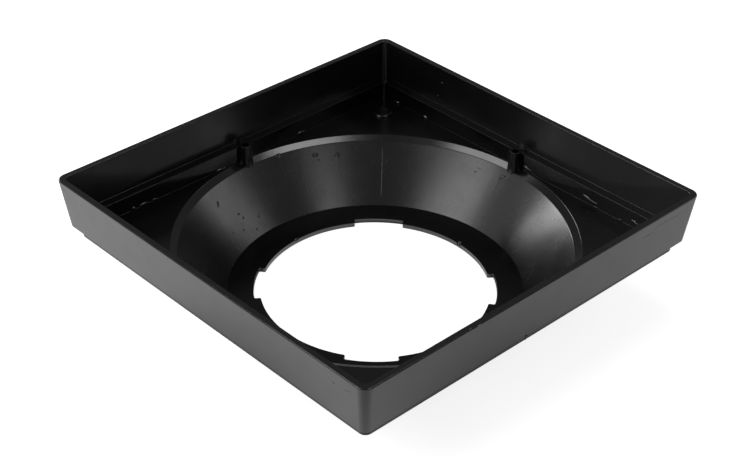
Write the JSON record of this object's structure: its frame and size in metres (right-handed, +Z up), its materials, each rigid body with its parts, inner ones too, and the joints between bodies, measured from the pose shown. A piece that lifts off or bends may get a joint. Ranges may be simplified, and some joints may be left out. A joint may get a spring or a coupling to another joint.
{
  "type": "square drain adapter",
  "caption": "Moulded square tray with an inner ledge, funnelling down to a round notched outlet; joins a square grate or frame to a round drain pipe.",
  "frame": {"origin": "middle of the outlet, on the plane of the outlet ring's underside", "axes": "+Z up along the outlet axis towards the open rim; +X and +Y square to the sides of the tray"},
  "size_m": [0.2998, 0.2998, 0.084],
  "materials": {
    "black_plastic": "semi-gloss black, as moulded, lightly scuffed"
  },
  "bodies": {
    "root": {"drain_adapter": "black_plastic"}
  },
  "joints": []
}
